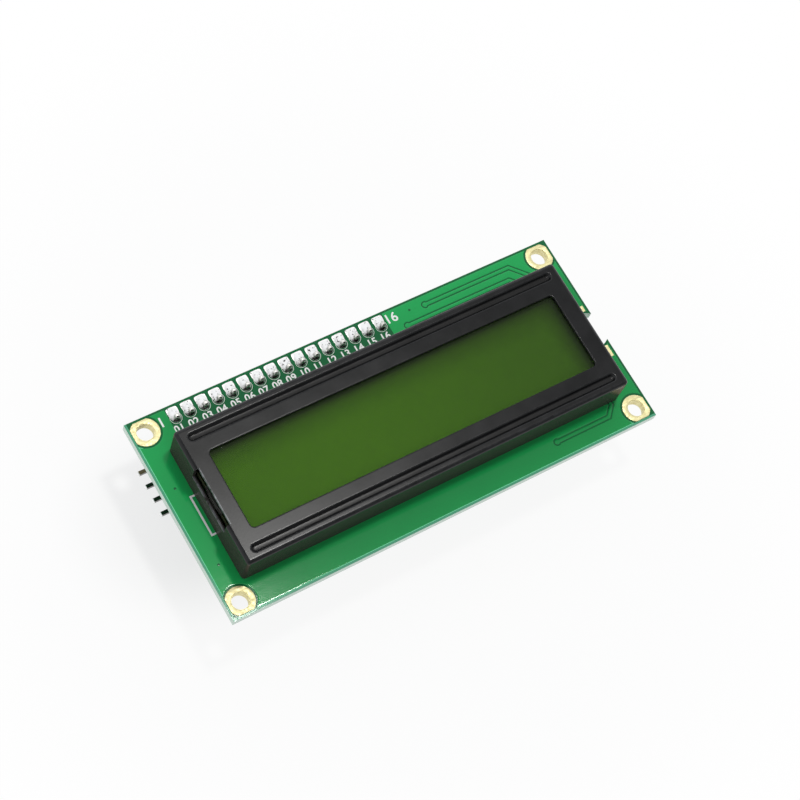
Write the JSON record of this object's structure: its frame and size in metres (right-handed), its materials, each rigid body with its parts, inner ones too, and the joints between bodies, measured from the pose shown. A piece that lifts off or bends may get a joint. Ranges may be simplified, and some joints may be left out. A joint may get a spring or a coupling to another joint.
{
  "type": "character lcd module",
  "caption": "Character display in a pressed black bezel on a green board, with a serial adapter board soldered behind it.",
  "frame": {"origin": "centre of the display board's front face, which is the centre of its four mounting holes", "axes": "+X along the row of pins, +Y towards that row, +Z out of the display"},
  "size_m": [0.08, 0.036, 0.021],
  "materials": {
    "board_green": "glossy green solder mask over copper",
    "bezel_black": "satin black enamel on pressed steel",
    "film": "smooth polarising film",
    "glass": "clear float glass",
    "end_seal": "clear amber resin",
    "contact_rubber": "matt silicone",
    "reflector": "white film",
    "guide": "clear acrylic",
    "lamp": "milky resin",
    "lamp_board": "white laminate",
    "tinned_metal": "bright tin plating",
    "solder": "bright solder",
    "resin_black": "satin black sealing resin",
    "chip_resistor": "glazed black",
    "chip_capacitor": "fired tan ceramic",
    "header_black": "moulded black",
    "pin_metal": "thin gold plating on brass",
    "adapter_blue": "glossy dark blue solder mask",
    "chip_black": "moulded black resin",
    "trimmer_blue": "moulded blue",
    "rotor_white": "moulded off-white",
    "element": "fired white ceramic",
    "lens": "clear red resin"
  },
  "bodies": {
    "module": {"main_board": "board_green", "bezel": "bezel_black", "front_polariser": "film", "front_glass": "glass", "rear_glass": "glass", "rear_polariser": "film", "glass_end_seal": "end_seal", "upper_contact_strip": "contact_rubber", "lower_contact_strip": "contact_rubber", "reflector_film": "reflector", "light_guide": "guide", "lamp_board": "lamp_board", "backlight_lamps": "lamp", "backlight_leads": "tinned_metal", "backlight_solder": "solder", "controller_dome": "resin_black", "driver_dome": "resin_black", "board_resistors": "chip_resistor", "board_capacitors": "chip_capacitor", "board_part_ends": "tinned_metal", "header_strip": "header_black", "header_pins": "pin_metal", "front_solder_joints": "solder", "adapter_solder_joints": "solder", "adapter_board": "adapter_blue", "side_strip": "header_black", "side_pins": "pin_metal", "bus_chip": "chip_black", "bus_chip_leads": "tinned_metal", "trimmer_housing": "trimmer_blue", "trimmer_element": "element", "trimmer_pins": "tinned_metal", "jumper_strip": "header_black", "jumper_pins": "pin_metal", "jumper_cap": "header_black", "jumper_clip": "tinned_metal", "through_solder_joints": "solder", "adapter_resistors": "chip_resistor", "adapter_capacitors": "chip_capacitor", "adapter_part_ends": "tinned_metal", "power_lamp_base": "lamp_board", "power_lamp_lens": "lens", "backlight_transistor": "chip_black", "transistor_leads": "tinned_metal"},
    "rotor": {"contrast_rotor": "rotor_white"}
  },
  "joints": [
    {"name": "contrast_turn", "type": "hinge", "parent": "module", "child": "rotor", "pos_m": [-0.0015, 0.0065, -0.009], "axis": [0, 0, 1], "range_deg": [-125, 125]}
  ]
}
